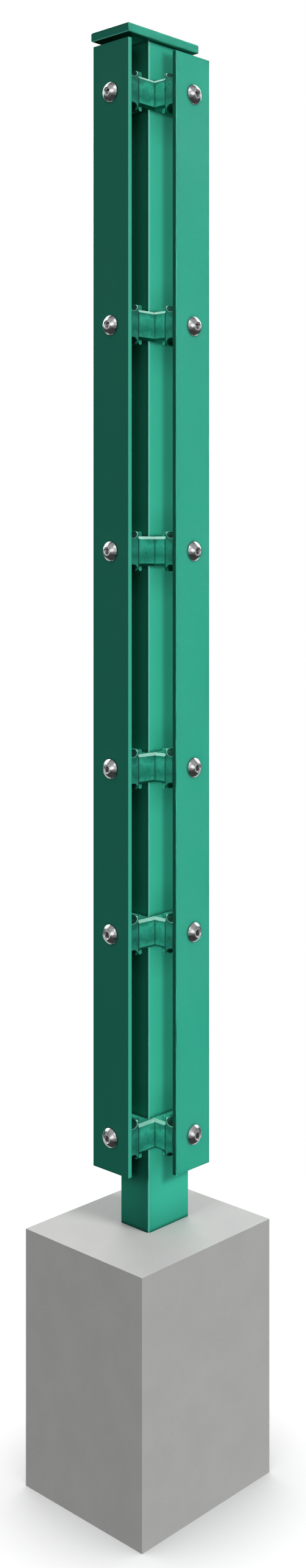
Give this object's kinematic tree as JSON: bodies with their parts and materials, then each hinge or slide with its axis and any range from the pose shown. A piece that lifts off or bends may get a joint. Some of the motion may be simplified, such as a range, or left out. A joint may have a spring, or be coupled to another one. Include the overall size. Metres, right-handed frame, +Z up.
{
  "type": "corner fence post",
  "caption": "Corner post for wire mesh panels: a painted tube cast in a concrete footing, with bolted cover bars and moulded wire pads on neighbouring faces under a flat cap.",
  "frame": {"origin": "middle of the footing's underside", "axes": "+Z up along the post; the left bar is on the tube's -X face and the right bar on its -Y face"},
  "size_m": [0.188, 0.163, 1.468],
  "materials": {
    "concrete": "smooth cast",
    "green_paint": "satin powder coat",
    "green_cap": "satin",
    "green_pad": "moulded, slightly mottled",
    "stainless_steel": "bright",
    "zinc_plated_steel": "plated"
  },
  "bodies": {
    "root": {"concrete_footing": "concrete", "post_tube": "green_paint", "post_cap": "green_cap", "left_bar": "green_paint", "right_bar": "green_paint", "left_pad_1": "green_pad", "left_pad_2": "green_pad", "left_pad_3": "green_pad", "left_pad_4": "green_pad", "left_pad_5": "green_pad", "left_pad_6": "green_pad", "right_pad_1": "green_pad", "right_pad_2": "green_pad", "right_pad_3": "green_pad", "right_pad_4": "green_pad", "right_pad_5": "green_pad", "right_pad_6": "green_pad", "left_bar_screws": "stainless_steel", "right_bar_screws": "stainless_steel", "left_rivet_nuts": "zinc_plated_steel", "right_rivet_nuts": "zinc_plated_steel"}
  },
  "joints": []
}
